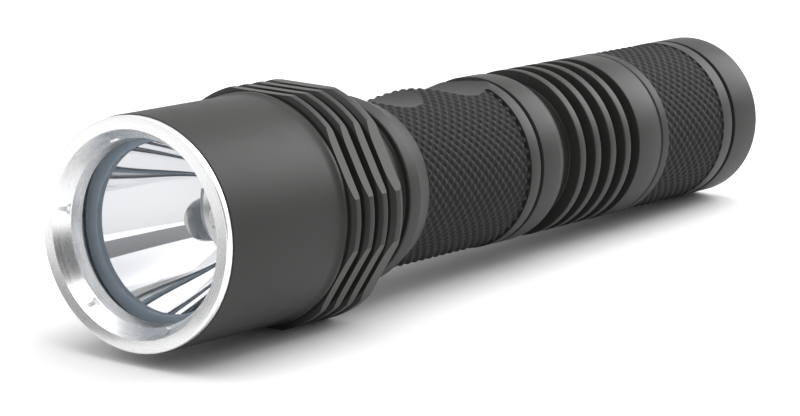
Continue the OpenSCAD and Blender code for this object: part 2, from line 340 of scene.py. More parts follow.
def emitter_dome(name):
    """Clear dome, seen as a pale middle over the emitter inside a grey skirt."""
    f = Finish(name, IOR=1.41, Coat_Weight=0.5, Coat_Roughness=0.05)
    skirt = ((f.radius - 1.35 * MM) / (0.25 * MM)).clamped()
    cloud = f.cloud(0.6, 2.0)
    pale = f.mix(cloud, (0.62, 0.62, 0.52, 1.0), (0.72, 0.72, 0.62, 1.0))
    f.feed("Base Color", f.mix(skirt, pale, (0.17, 0.19, 0.21, 1.0)))
    f.feed("Roughness", cloud * 0.1 + 0.12)
    return f.material


def solder_mask(name, colour, copper):
    """Circuit board lacquer over copper tracks that run in two directions."""
    f = Finish(name, Metallic=0.0, IOR=1.52, Coat_Weight=0.3, Coat_Roughness=0.1)
    cell = {"Vector": f.place, "Scale": 1 / (1.7 * MM), "Randomness": 0.6}
    edges = f.add("ShaderNodeTexVoronoi", {"feature": "DISTANCE_TO_EDGE"}, cell)["Distance"]
    tracks = (0.09 - edges).over(0.0)
    weave = f.cloud(0.25, 2.0)
    lacquer = f.mix(weave, shade(colour, 0.8), shade(colour, 1.2))
    f.feed("Base Color", f.mix(tracks * 0.55, lacquer, shade(copper, 0.7)))
    f.feed("Roughness", (weave - 0.5) * 0.15 + 0.35)
    f.bump(tracks * 0.02 + weave * 0.004, 1.0)
    return f.material


# ---------------------------------------------------------------- turned meshes


def eased(points, ease=0.1, closed=False, steps=3):
    """A profile with its corners rounded; a point's third value is its own ease."""
    # An ease takes at most this share of a side; tiny and nearly straight corners stay
    largest, shortest, straight = 0.45, 0.004, math.radians(4)
    count = len(points)
    out = []
    for i, point in enumerate(points):
        at = Vector(point[:2])
        if not closed and i in (0, count - 1):
            out.append(tuple(at))
            continue
        back = Vector(points[i - 1][:2]) - at
        on = Vector(points[(i + 1) % count][:2]) - at
        size = point[2] if len(point) > 2 else ease
        reach = min(size, back.length * largest, on.length * largest)
        if reach < shortest or abs(back.angle(on) - math.pi) < straight:
            out.append(tuple(at))
            continue
        start = at + back.normalized() * reach
        end = at + on.normalized() * reach
        for k in range(steps + 1):
            t = k / steps
            out.append(tuple(start * (1 - t) ** 2 + at * 2 * t * (1 - t) + end * t * t))
    return out


def rows(radius, start, end, count, around=AROUND):
    """Rings at even steps along a straight band, both ends included."""
    step = (end - start) / count
    return [(radius, start + step * k, around) for k in range(count + 1)]


def arc(radius, station, size, first, last, steps):
    """Profile points on an arc about (radius, station), angles in degrees."""
    angles = [math.radians(first + (last - first) * k / steps) for k in range(steps + 1)]
    return [(radius + size * math.cos(a), station + size * math.sin(a)) for a in angles]


def join_rings(first, second, crossed):
    """Faces between two rings of vertex numbers, whose counts are equal, double or one."""
    n, m = len(first), len(second)
    if m == 1:
        return [(first[i], first[(i + 1) % n], second[0]) for i in range(n)]
    if n == 1:
        return [(first[0], second[(i + 1) % m], second[i]) for i in range(m)]
    faces = []
    if n == m:
        for i in range(n):
            k = (i + 1) % n
            a, b, c, d = first[i], first[k], second[k], second[i]
            if crossed is None:
                faces.append((a, b, c, d))
            elif (i + crossed + 1) % 4 == 0:
                faces += [(a, b, d), (b, c, d)]
            else:
                faces += [(a, b, c), (a, c, d)]
        return faces
    few, many, turn = (first, second, False) if n < m else (second, first, True)
    for i in range(len(few)):
        k = (i + 1) % len(few)
        fine = [many[2 * i], many[2 * i + 1], many[(2 * i + 2) % len(many)]]
        trio = [
            (few[i], fine[1], fine[0]), (few[i], few[k], fine[1]), (few[k], fine[2], fine[1]),
        ]
        faces += [t[::-1] for t in trio] if turn else trio
    return faces


def turned(name, outline, material, around=AROUND):
    """A closed mesh turned from an outline of (radius, station) points round the axis.

    An outline goes back along the outside and forwards along the inside. A third value
    is the number of points round that ring; two knurled rings get crossed triangles.
    """
    places, faces, rings = [], [], []
    for point in outline:
        radius, station = point[:2]
        n = 1 if radius < 1e-6 else (point[2] if len(point) > 2 else around)
        angle = np.arange(n) * (2 * math.pi / n)
        along = np.full(n, FACE - station * MM)
        y, z = radius * MM * np.sin(angle), radius * MM * np.cos(angle)
        ring = np.stack([along, y, z], axis=1)
        rings.append(list(range(len(places), len(places) + n)))
        places += ring.tolist()
    band = 0
    for i in range(len(rings)):
        k = (i + 1) % len(rings)
        if len(rings[i]) == 1 and len(rings[k]) == 1:
            continue
        knurled = len(rings[i]) == len(rings[k]) == KNURL_AROUND
        band = band + 1 if knurled else 0
        faces += join_rings(rings[i], rings[k], band - 1 if knurled else None)
    return solid(name, places, faces, material)


def solid(name, places, faces, material):
    """An object at the origin with one material, made from points and faces."""
    mesh = bpy.data.meshes.new(name)
    mesh.from_pydata(places, [], faces)
    mesh.materials.append(material)
    piece = bpy.data.objects.new(name, mesh)
    bpy.context.scene.collection.objects.link(piece)
    tidy = bmesh.new()
    tidy.from_mesh(mesh)
    bmesh.ops.remove_doubles(tidy, verts=tidy.verts, dist=1e-8)
    bmesh.ops.recalc_face_normals(tidy, faces=tidy.faces)
    tidy.to_mesh(mesh)
    tidy.free()
    return piece


def bake(piece):
    """Keeps the result of a piece's modifiers as its mesh."""
    graph = bpy.context.evaluated_depsgraph_get()
    done = bpy.data.meshes.new_from_object(piece.evaluated_get(graph), depsgraph=graph)
    piece.modifiers.clear()
    piece.data = done
    return piece


def settle(piece, sharp_degrees=34.0):
    """Shades a piece smooth up to a sharp angle."""
    mesh = piece.data
    mesh.shade_smooth()
    mesh.set_sharp_from_angle(angle=math.radians(sharp_degrees))
    if len(mesh.materials) > 1:
        mark_borders(mesh)
    return piece


def mark_borders(mesh):
    """Makes the edges between two finishes sharp."""
    work = bmesh.new()
    work.from_mesh(mesh)
    for edge in work.edges:
        if len({face.material_index for face in edge.link_faces}) > 1:
            edge.smooth = False
    work.to_mesh(mesh)
    work.free()


def cut(piece, cutter, operation="DIFFERENCE"):
    """Cuts one closed piece with another, which is used up."""
    if cutter.data.materials[0].name not in piece.data.materials:
        piece.data.materials.append(cutter.data.materials[0])
    step = piece.modifiers.new("cut", "BOOLEAN")
    step.operation = operation
    step.solver = "MANIFOLD"
    step.object = cutter
    bake(piece)
    bpy.data.objects.remove(cutter)


def rod(name, centre, axis, radius, length, material, around=48):
    """A closed round bar about a centre in metres, along a direction."""
    work = bmesh.new()
    turn = Vector((0, 0, 1)).rotation_difference(Vector(axis)).to_matrix().to_4x4()
    bmesh.ops.create_cone(
        work, cap_ends=True, segments=around, radius1=radius * MM, radius2=radius * MM,
        depth=length * MM, matrix=Matrix.Translation(centre) @ turn,
    )
    return from_work(name, work, material)


def block(name, low, high, material, bevel=0.0):
    """A box between two corners in metres, with bevelled edges."""
    work = bmesh.new()
    middle, size = (Vector(low) + Vector(high)) / 2, Vector(high) - Vector(low)
    matrix = Matrix.Translation(middle) @ Matrix.Diagonal(size.to_4d())
    bmesh.ops.create_cube(work, size=1.0, matrix=matrix)
    if bevel:
        bmesh.ops.bevel(
            work, geom=work.edges[:], offset=bevel * MM, segments=2, profile=0.5, affect="EDGES"
        )
    return from_work(name, work, material)


def from_work(name, work, material):
    mesh = bpy.data.meshes.new(name)
    work.to_mesh(mesh)
    work.free()
    mesh.materials.append(material)
    piece = bpy.data.objects.new(name, mesh)
    bpy.context.scene.collection.objects.link(piece)
    return piece


def keep(piece, node):
    """The finished piece stands for a CAD node and rides on its body; the node is hidden."""
    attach(piece, BODY_OF[node])
    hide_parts(node)


# ---------------------------------------------------------------- rule-made shapes


class Rule(Graph):
    """A Geometry Nodes tree with named numbers, ended by Realize Instances and Set Material."""

    def __init__(self, name, *numbers):
        super().__init__(bpy.data.node_groups.new(name, "GeometryNodeTree"))
        face = self.tree.interface
        face.new_socket(name="Geometry", in_out="OUTPUT", socket_type="NodeSocketGeometry")
        self.identifiers = {}
        kinds = {"Geometry": "Geometry", "Material": "Material"}
        for label, kind in (kinds | dict.fromkeys(numbers, "Float")).items():
            socket = face.new_socket(name=label, in_out="INPUT", socket_type=f"NodeSocket{kind}")
            self.identifiers[label] = socket.identifier
        self.inputs = self.add("NodeGroupInput")

    def end(self, geometry):
        real = self.add("GeometryNodeRealizeInstances", None, {0: geometry})[0]
        inputs = {"Geometry": real, "Material": self.inputs["Material"]}
        done = self.add("GeometryNodeSetMaterial", None, inputs)[0]
        self.add("NodeGroupOutput", None, {0: done})
        return self

    def polar(self):
        """Place, station in metres, polar angle in turns and radius of each point."""
        place = self.add("GeometryNodeInputPosition")[0]
        x, y, z = self.split(place)
        turns = y.math("ARCTAN2", z) / (2 * math.pi)
        radius = (y * y + z * z) ** 0.5
        return x, y, z, FACE - x, turns, radius

    def apply(self, piece, **values):
        """Runs the tree on a piece as a modifier and keeps the result as its mesh."""
        step = piece.modifiers.new(self.tree.name, "NODES")
        step.node_group = self.tree
        step[self.identifiers["Material"]] = piece.data.materials[0]
        for label, value in values.items():
            step[self.identifiers[label.replace("_", " ")]] = value
        return bake(piece)


def knurl_rule():
    """Two crossing sets of vee grooves, pressed into the points at one radius."""
    rule = Rule("cut_knurl", "Start", "End", "Radius", "Diamonds", "Pitch", "Depth")
    x, y, z, station, turns, radius = rule.polar()
    given = rule.inputs
    along = (station - given["Start"]) / given["Pitch"]
    round_ = turns * given["Diamonds"]
    first = abs((round_ + along).math("FRACT") - 0.5)
    second = abs((round_ - along).math("FRACT") - 0.5)
    height = ((first * second * 4) ** 0.75 * 1.15).least(1.0)
    on_band = (ON_RADIUS - abs(radius - given["Radius"])).over(0.0)
    after_start = (station - given["Start"] + 1e-6).over(0.0)
    inside = after_start * (given["End"] - station + 1e-6).over(0.0)
    wanted = given["Radius"] - given["Depth"] * (1 - height)
    scale = wanted / radius.most(1e-6)
    inputs = {
        "Geometry": given["Geometry"],
        "Selection": on_band * inside,
        "Position": rule.join(x, y * scale, z * scale),
    }
    return rule.end(rule.add("GeometryNodeSetPosition", None, inputs)[0])


def knurl(piece, start, end, radius, steps):
    """Knurls a band, given in millimetres, that has a number of even steps along it."""
    knurl_rule().apply(
        piece, Start=start * MM, End=end * MM, Radius=radius * MM,
        Diamonds=float(sizes().diamonds), Pitch=(end - start) / steps * KNURL_STEPS * MM,
        Depth=sizes().knurl_depth,
    )


def thread_rule():
    """A right-handed screw thread: a positive depth cuts inwards, a negative one outwards."""
    rule = Rule("cut_thread", "Start", "End", "Radius", "Pitch", "Depth")
    x, y, z, station, turns, radius = rule.polar()
    given = rule.inputs
    phase = (turns - station / given["Pitch"]).math("FRACT")
    crest = (1 - abs(phase * 2 - 1)) * 1.7 - 0.35
    ramp = given["Pitch"] * 0.6
    run_out = ((given["End"] - station) / ramp).clamped()
    lead_in = ((station - given["Start"]) / ramp).clamped() * run_out
    on_band = (ON_RADIUS - abs(radius - given["Radius"])).over(0.0)
    wanted = given["Radius"] - given["Depth"] * (1 - crest.clamped()) * lead_in
    scale = wanted / radius.most(1e-6)
    inputs = {
        "Geometry": given["Geometry"],
        "Selection": on_band * (lead_in * 1000).over(0.0),
        "Position": rule.join(x, y * scale, z * scale),
    }
    return rule.end(rule.add("GeometryNodeSetPosition", None, inputs)[0])


def spring_rule():
    """A conical coil spring along the beam axis with closed end turns."""
    rule = Rule("wind_spring", "Front", "Back", "Front Radius", "Back Radius", "Turns", "Wire")
    given = rule.inputs
    inputs = {
        "Resolution": 48, "Rotations": given["Turns"], "Height": 1.0,
        "Start Radius": given["Front Radius"], "End Radius": given["Back Radius"],
    }
    spiral = rule.add("GeometryNodeCurveSpiral", None, inputs)[0]
    place = rule.add("GeometryNodeInputPosition")[0]
    x, y, z = rule.split(place)
    eased_z = (z * z) * (3 - z * 2)
    share = eased_z * 0.8 + z * 0.2
    travel = given["Back"] - given["Front"] - given["Wire"] * 2
    station = given["Front"] + given["Wire"] + travel * share
    moved = {"Geometry": spiral, "Position": rule.join(FACE - station, x, y)}
    wound = rule.add("GeometryNodeSetPosition", None, moved)[0]
    section = {"Resolution": 16, "Radius": given["Wire"]}
    circle = rule.add("GeometryNodeCurvePrimitiveCircle", None, section)[0]
    swept = {"Curve": wound, "Profile Curve": circle, "Fill Caps": True}
    return rule.end(rule.add("GeometryNodeCurveToMesh", None, swept)[0])


# ---------------------------------------------------------------- settings


class FlashlightSizes(bpy.types.PropertyGroup):
    """Sizes of the details that the finished pieces carry."""

    edge_ease: FloatProperty(
        name="Edge ease", description="Rounding of machined edges, in millimetres",
        default=0.1, min=0.02, max=0.3,
    )
    diamonds: IntProperty(
        name="Diamonds", description="Knurl diamonds round the tube", default=44, min=24, max=60
    )
    knurl_depth: FloatProperty(
        name="Knurl depth", description="Depth of the knurl's grooves",
        default=0.00036, min=0.0001, max=0.0008, unit="LENGTH",
    )
    tube_pitch: FloatProperty(
        name="Tube thread pitch", description="Advance of the tube's threads in one turn",
        default=0.00125, min=0.0005, max=0.002, unit="LENGTH",
    )
    bezel_pitch: FloatProperty(
        name="Bezel thread pitch", description="Advance of the bezel's thread in one turn",
        default=0.00075, min=0.0005, max=0.002, unit="LENGTH",
    )
    thread_depth: FloatProperty(
        name="Thread depth", description="Depth of the tube's threads",
        default=0.00055, min=0.0002, max=0.001, unit="LENGTH",
    )


class FlashlightColours(bpy.types.PropertyGroup):
    """Colours of the finishes."""

    anodise: FloatVectorProperty(
        name="Anodising", description="Hard anodised head, tube and tail cap",
        default=(0.019, 0.019, 0.0178), subtype="COLOR", min=0, max=1,
    )
    silver: FloatVectorProperty(
        name="Bezel", description="Bare turned bezel",
        default=(0.92, 0.92, 0.925), subtype="COLOR", min=0, max=1,
    )
    gasket: FloatVectorProperty(
        name="Gasket", description="Seal between the glass and the reflector",
        default=(0.20, 0.25, 0.30), subtype="COLOR", min=0, max=1,
    )
    glass: FloatVectorProperty(
        name="Glass", description="Tint of the coated glass",
        default=(0.80, 0.90, 1.0), subtype="COLOR", min=0, max=1,
    )
    rubber: FloatVectorProperty(
        name="Rubber", description="Sealing rings and tail button",
        default=(0.022, 0.022, 0.023), subtype="COLOR", min=0, max=1,
    )
    wrap: FloatVectorProperty(
        name="Cell wrap", description="Shrink wrap round the cell",
        default=(0.02, 0.09, 0.28), subtype="COLOR", min=0, max=1,
    )


class FlashlightStudio(bpy.types.PropertyGroup):
    """Camera, floor and lights."""

    focal: FloatProperty(
        name="Focal length", description="Camera focal length in millimetres",
        default=152.2, min=20, max=300,
    )
    floor: FloatVectorProperty(
        name="Floor", description="Colour of the pale floor",
        default=(0.86, 0.86, 0.86), subtype="COLOR", min=0, max=1,
    )
    sky: FloatProperty(
        name="Surround", description="Strength of the white surround", default=1.08, min=0, max=3
    )
    key: FloatProperty(
        name="Overhead light", description="Power of the overhead softbox", default=5.2,
        min=0, max=100, unit="POWER",
    )
    back: FloatProperty(
        name="Tail light", description="Power of the softbox behind the tail", default=3.6,
        min=0, max=100, unit="POWER",
    )


def sizes():
    return bpy.context.scene.flashlight_sizes


def colour(name):
    return tuple(getattr(bpy.context.scene.flashlight_colours, name)) + (1.0,)


# ---------------------------------------------------------------- pieces


class FLASHLIGHT_OT_bezel(bpy.types.Operator):
    """Turns the bare bezel with its spanner notches and skirt thread"""

    bl_idname = "flashlight.bezel"
    bl_label = "Bezel"

    def execute(self, context):
        _, rear, outer = span("bezel_ring")
        ease, thread_r = sizes().edge_ease, BEZEL_THREAD_R
        silver = bare_metal("bare_silver", colour("silver"), rough=0.27)
        outline = eased([
            (14.3, 0.0, 0.05), (outer - 0.18, 0.0, 0.12), (outer, 0.18, 0.12), (outer, 1.1),
            (thread_r, 1.1), (thread_r, 1.55), (14.1, 1.55), (14.1, 2.65), (thread_r, 2.65),
        ], ease)
        outline += rows(thread_r, 2.7, rear - 0.15, 44)
        outline += eased([
            (thread_r, rear - 0.1), (14.9, rear), (14.0, rear), (14.0, 4.25),
            (12.6, 4.25, 0.06), (12.9, 2.3, 0.06), (14.3, 0.0),
        ], ease)[:-1]
        piece = turned("silver_bezel", outline, silver)
        thread_rule().apply(
            piece, Start=0.00275, End=(rear - 0.2) * MM, Radius=thread_r * MM,
            Pitch=sizes().bezel_pitch, Depth=BEZEL_THREAD_DEPTH,
        )
        notches, first, notch_r, notch_depth = 6, -23.7, 12.3, 0.575
        for k in range(notches):
            angle = math.radians(first + 360 / notches * k)
            y, z = notch_r * MM * math.sin(angle), notch_r * MM * math.cos(angle)
            centre = (FACE - notch_depth * MM, y, z)
            cut(piece, rod("notch", centre, (1, 0, 0), 1.1, 3.15, silver, 48))
        keep(settle(piece), "bezel_ring")
        return {"FINISHED"}


class FLASHLIGHT_OT_optics(bpy.types.Operator):
    """Makes the glass, its gasket and the reflector"""

    bl_idname = "flashlight.optics"
    bl_label = "Glass and reflector"

    def execute(self, context):
        front, rear, radius = span("lens")
        glass = turned("front_glass", eased([
            (0, front), (radius - 0.2, front), (radius, front + 0.2),
            (radius, rear - 0.2), (radius - 0.2, rear), (0, rear),
        ], 0.04), clear_glass("coated_glass", colour("glass")))
        keep(settle(glass), "lens")

        front, rear, radius = span("lens_gasket")
        seal = turned("glass_gasket", eased([
            (11.85, front), (radius, front), (radius, rear), (11.85, rear),
        ], 0.2, closed=True, steps=5), rubber("gasket_rubber", colour("gasket"), 0.45))
        keep(settle(seal), "lens_gasket")

        front, rear, radius = span("reflector")
        mouth, focal, wall_t = 12.25, 2.2, 1.3
        vertex = front + mouth ** 2 / (4 * focal)

        def bowl(station):
            return math.sqrt(4 * focal * (vertex - station))

        steps = 72
        wall = [rear + (front + 0.12 - rear) * k / steps for k in range(steps + 1)]
        inside = [(bowl(s), s) for s in wall]
        outside = [(max(bowl(s) + wall_t, 5.5), s) for s in reversed(wall) if s > front + 1.6]
        outline = eased([
            (mouth, front), (radius, front), (radius, front + 1.5),
            (bowl(front + 1.5) + wall_t, front + 1.5), outside[0],
        ], 0.08) + outside[1:] + inside
        coat = mirror_coat("mirror_coat", (0.94, 0.945, 0.955, 1.0))
        keep(settle(turned("deep_reflector", outline, coat, 256)), "reflector")
        return {"FINISHED"}


class FLASHLIGHT_OT_head(bpy.types.Operator):
    """Turns the head, mills six flats across its fins and cuts its threads"""

    bl_idname = "flashlight.head"
    bl_label = "Head"

    def execute(self, context):
        front, rear, _ = span("head_body")
        ease = sizes().edge_ease
        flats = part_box("head_body")[1].z / MM
        # Radii of the barrel, the fins, the gaps between them and the cove that ends the barrel
        barrel, fin, gap, cove_r = 16.25, 17.45, 14.9, 3.3
        fins, fin_step, fin_width = 4, 3.14, 1.1
        black = anodised("black_anodise", colour("anodise"))
        bead = barrel + cove_r * (1 - math.cos(math.radians(25)))
        cove = arc(barrel + cove_r, 24, cove_r, 180, 155, 10)
        shape = [(bead, 26.0), (barrel - 0.1, 26.15)]
        for i in range(fins):
            back = 27.83 + i * fin_step
            lip = back - fin_width
            last = i == fins - 1
            wide = 0.5 if last else 0.0
            shape += [
                (barrel - 0.1 if i == 0 else gap, lip - 0.35 - wide / 2),
                (fin - 0.65, lip - 0.35 - wide / 2), (fin, lip), (fin, back),
                (fin - 0.2, back + 0.15 + wide), (13.0 if last else gap, back + 0.15 + wide, 0.3),
            ]
        shape += [
            (13.0, 44.4, 0.3), (13.75, 44.4), (13.9, 44.6), (13.9, 47.0, 0.06),
            (12.55, rear - 0.2), (12.4, rear), (11.75, rear), (INNER_THREAD_R, rear - 0.3),
        ]
        outline = eased([
            (15.1, front), (barrel - 0.15, front), (barrel, front + 0.15), cove[0],
        ], ease)
        outline += cove[1:-1] + eased([cove[-1]] + shape, ease)
        outline += rows(INNER_THREAD_R, rear - 0.35, 44.0, 54)
        outline += eased([
            (INNER_THREAD_R, 43.9), (INNER_THREAD_R, 25.9), (14.35, 23.0), (14.35, 6.8),
            (15.1, 6.8), (15.1, 6.7),
        ], 0.15)
        outline += rows(15.1, 6.6, front + 0.5, 66) + [(15.1, front + 0.1)]
        piece = turned("finned_head", outline, black)
        thread = thread_rule()
        thread.apply(
            piece, Start=0.0440, End=(rear - 0.4) * MM, Radius=INNER_THREAD_R * MM,
            Pitch=sizes().tube_pitch, Depth=-sizes().thread_depth,
        )
        thread.apply(
            piece, Start=(front + 1.2) * MM, End=0.0066, Radius=0.0151,
            Pitch=sizes().bezel_pitch, Depth=-BEZEL_THREAD_DEPTH,
        )
        prism = bmesh.new()
        reach = flats * MM / math.cos(math.radians(30))
        turn = Matrix.Rotation(math.pi / 2, 4, "Y")
        bmesh.ops.create_cone(
            prism, cap_ends=True, segments=6, radius1=reach, radius2=reach, depth=0.07,
            matrix=Matrix.Translation((FACE - 0.026, 0, 0)) @ turn,
        )
        # Painted highlight: the milled flats get a base colour 2.6 times paler than the turned
        # skin, standing in for the light they catch
        paler = shade(colour("anodise"), 2.6)
        milled = anodised("milled_anodise", paler, rough=0.48, line_depth=0.002)
        cut(piece, from_work("prism", prism, milled), "INTERSECT")
        keep(settle(piece), "head_body")
        return {"FINISHED"}


class FLASHLIGHT_OT_tube(bpy.types.Operator):
    """Turns the battery tube with its knurl, scallops, rings and threads"""

    bl_idname = "flashlight.tube"
    bl_label = "Battery tube"

    def execute(self, context):
        front, rear, outer = span("battery_tube")
        head_end = span("head_body")[1]
        cap_front = span("tail_cap")[0] - 0.05
        ease = sizes().edge_ease
        # Radii of the grip, the threads and the bore, and the depth of a ring's seat
        grip, thread_r, bore, seat = 12.8, 11.4, 9.4, 1.1
        knurl_start, knurl_end = head_end + 0.3, head_end + 25.9
        knurl_rows = 113
        band = (knurl_start * MM, knurl_end * MM, grip * MM, sizes().knurl_depth)
        black = anodised("tube_anodise", colour("anodise"), knurl=band)
        outline = eased([
            (bore, front), (thread_r - 0.4, front), (thread_r, front + 0.4),
            (thread_r, front + 0.5),
        ], ease)
        outline += rows(thread_r, front + 0.55, head_end - 2.0, 28)
        outline += eased([
            (thread_r, head_end - 1.95), (thread_r, head_end - 1.9),
            (thread_r - seat, head_end - 1.9), (thread_r - seat, head_end - 0.6),
            (thread_r, head_end - 0.6), (thread_r, head_end + 0.05),
            (grip - 0.4, head_end + 0.05, 0.03), (grip, knurl_start),
        ], 0.05)[:-1]
        outline += rows(grip, knurl_start, knurl_end, knurl_rows, KNURL_AROUND)
        groove = head_end + 28.4
        gap_depth, round_r = 2.0, 4
        last = math.degrees(math.acos(1 - gap_depth / round_r))
        collar = arc(outer - round_r, head_end + 33.5, round_r, 0, last, 12)
        shape = [collar[-1]]
        rings, ring_step, ring_width = 4, 4.35, 1.65
        for i in range(rings):
            back = head_end + 41.1 + i * ring_step
            lip = back - ring_width
            shape += [
                (outer - gap_depth, lip, 0.25), (outer, lip, 0.16), (outer, back, 0.16),
                (outer - gap_depth, back, 0.25),
            ]
        shape += [
            (outer - gap_depth, head_end + 56.7, 0.25), (outer, head_end + 56.7, 0.15),
            (outer, cap_front - 0.3), (outer - 0.25, cap_front - 0.05),
            (thread_r, cap_front - 0.05), (thread_r, cap_front + 0.5),
            (thread_r - seat, cap_front + 0.5), (thread_r - seat, cap_front + 1.8),
            (thread_r, cap_front + 1.8), (thread_r, cap_front + 1.9),
        ]
        outline += eased([
            (grip, knurl_end + 0.01), (outer, knurl_end + 0.01, 0.05), (outer, groove),
            (outer - 0.6, groove + 0.1), (outer - 0.6, groove + 0.8), (outer, groove + 0.9),
            collar[0],
        ], ease)[1:]
        outline += collar[1:-1] + eased(shape, ease)
        outline += rows(thread_r, cap_front + 1.95, rear - 0.5, 42)
        outline += eased([
            (thread_r, rear - 0.45), (thread_r, rear - 0.4), (thread_r - 0.4, rear),
            (bore, rear), (bore, rear - 1),
        ], ease)
        outline += [(bore, front + 1)]
        piece = turned("grip_tube", outline, black)
        knurl(piece, knurl_start, knurl_end, grip, knurl_rows)
        thread = thread_rule()
        for start, end in ((front + 0.5, head_end - 2.0), (cap_front + 1.95, rear - 0.45)):
            thread.apply(
                piece, Start=start * MM, End=end * MM, Radius=thread_r * MM,
                Pitch=sizes().tube_pitch, Depth=sizes().thread_depth,
            )
        floor = anodised("scallop_anodise", colour("anodise"), rough=0.42, line_depth=0.001)
        scallop_r, depth, lean = 13.2, 2.0, math.radians(-8)
        outwards = Vector((0, math.sin(lean), math.cos(lean)))
        for i in range(2):
            station = head_end + 6.3 + 16 * i
            centre = outwards * ((grip - depth + scallop_r) * MM)
            centre.x = FACE - station * MM
            across = (0, math.cos(lean), -math.sin(lean))
            cut(piece, rod("scallop", centre, across, scallop_r, 30, floor, 360))
        keep(settle(piece, 52), "battery_tube")
        return {"FINISHED"}


class FLASHLIGHT_OT_tail_cap(bpy.types.Operator):
    """Turns the tail cap with its knurl, groove, recess and thread"""

    bl_idname = "flashlight.tail_cap"
    bl_label = "Tail cap"

    def execute(self, context):
        front, rear, outer = span("tail_cap")
        ease = sizes().edge_ease
        knurl_start, knurl_end, knurl_rows = front + 2.05, front + 19.35, 72
        band = (knurl_start * MM, knurl_end * MM, outer * MM, sizes().knurl_depth)
        black = anodised("cap_anodise", colour("anodise"), knurl=band)
        outline = eased([
            (11.75, front), (outer - 0.25, front), (outer, front + 0.25),
            (outer, knurl_start - 0.05),
        ], ease)
        outline += rows(outer, knurl_start, knurl_end, knurl_rows, KNURL_AROUND)
        outline += eased([
            (outer, knurl_end + 0.05), (outer, front + 22.05), (outer - 0.85, front + 22.15),
            (outer - 0.85, front + 22.95), (outer, front + 23.05), (outer, rear - 0.8),
        ], ease)
        outline += arc(outer - 0.8, rear - 0.8, 0.8, 9, 90, 9)
        outline += eased([
            (11.0, rear), (9.7, rear), (9.2, rear - 0.5), (9.2, front + 23.85, 0.3),
            (6.6, front + 23.85), (6.6, front + 21.35), (10.9, front + 21.35),
            (10.9, front + 11.25), (INNER_THREAD_R, front + 11.25), (INNER_THREAD_R, front + 11.1),
        ], ease)
        outline += rows(INNER_THREAD_R, front + 11.0, front + 0.5, 84)
        outline += [(INNER_THREAD_R, front + 0.3)]
        piece = turned("tail_cap_shell", outline, black)
        knurl(piece, knurl_start, knurl_end, outer, knurl_rows)
        thread_rule().apply(
            piece, Start=(front + 0.45) * MM, End=(front + 11.0) * MM,
            Radius=INNER_THREAD_R * MM, Pitch=sizes().tube_pitch, Depth=-sizes().thread_depth,
        )
        keep(settle(piece, 52), "tail_cap")
        return {"FINISHED"}


class FLASHLIGHT_OT_seals(bpy.types.Operator):
    """Moulds the four sealing rings"""

    bl_idname = "flashlight.seals"
    bl_label = "Sealing rings"

    def execute(self, context):
        material = rubber("seal_rubber", colour("rubber"), 0.5)
        for node in ("bezel_o_ring", "front_o_ring", "rear_o_ring", "button_o_ring"):
            front, rear, outer = span(node)
            section = (rear - front) / 2
            circle = arc(outer - section, front + section, section, 0, 345, 23)
            keep(settle(turned(node + "_moulded", circle, material)), node)
        return {"FINISHED"}


class FLASHLIGHT_OT_emitter(bpy.types.Operator):
    """Makes the emitter: a ceramic package under a clear moulded dome"""

    bl_idname = "flashlight.emitter"
    bl_label = "Emitter"

    def execute(self, context):
        ceramic = moulded("ceramic", (0.55, 0.56, 0.55, 1))
        low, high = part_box("led_package")
        keep(settle(block("emitter_package", low, high, ceramic, 0.12)), "led_package")
        front, rear, radius = span("led_dome")
        skin = arc(0, rear, radius, -89, -8, 24)
        outline = [(0, front)] + skin + [(radius, rear - 0.2), (radius, rear), (0, rear)]
        dome = turned("emitter_dome", outline, emitter_dome("silicone_dome"), 96)
        keep(settle(dome), "led_dome")
        return {"FINISHED"}


class FLASHLIGHT_OT_springs(bpy.types.Operator):
    """Winds the driver's contact spring and the tail spring"""

    bl_idname = "flashlight.springs"
    bl_label = "Springs"

    def execute(self, context):
        wire = bare_metal("gold_wire", (0.86, 0.62, 0.28, 1), 0.22)
        rule = spring_rule()
        for node, first, last, turns, thick in (
            ("driver_spring", 2.2, 4.2, 3, 0.4), ("tail_spring", 3.2, 5.6, 4, 0.45),
        ):
            front, rear, _ = span(node)
            coil = solid(node + "_wound", [], [], wire)
            rule.apply(
                coil, Front=front * MM, Back=rear * MM, Front_Radius=first * MM,
                Back_Radius=last * MM, Turns=float(turns), Wire=thick * MM,
            )
            keep(settle(coil), node)
        return {"FINISHED"}


class FLASHLIGHT_OT_button(bpy.types.Operator):
    """Moulds the tail button with its flange, ring groove and grip ridges"""

    bl_idname = "flashlight.button"
    bl_label = "Tail button"

    def execute(self, context):
        front, rear, flange = span("tail_button")
        stem, groove = 6.5, 5.8
        outline = eased([
            (0, front), (flange, front), (flange, front + 1.15), (stem, front + 1.15),
            (stem, front + 2.6), (groove, front + 2.6), (groove, front + 3.4), (stem, front + 3.4),
            (stem, rear - 0.9, 0.9), (stem - 1.4, rear - 0.12, 0.3),
        ], 0.08, steps=6)[:-1]
        ridges, ridge_step = 4, 1.1
        for k in range(ridges):
            crest = stem - 1.5 - k * ridge_step
            outline += eased([
                (crest, rear - 0.12), (crest - 0.25, rear), (crest - 0.55, rear),
                (crest - 0.8, rear - 0.12),
            ], 0.1)
        outline += [(0, rear - 0.1)]
        cap = rubber("button_rubber", colour("rubber"), 0.62, 0.02)
        keep(settle(turned("tail_button_moulded", outline, cap)), "tail_button")
        return {"FINISHED"}


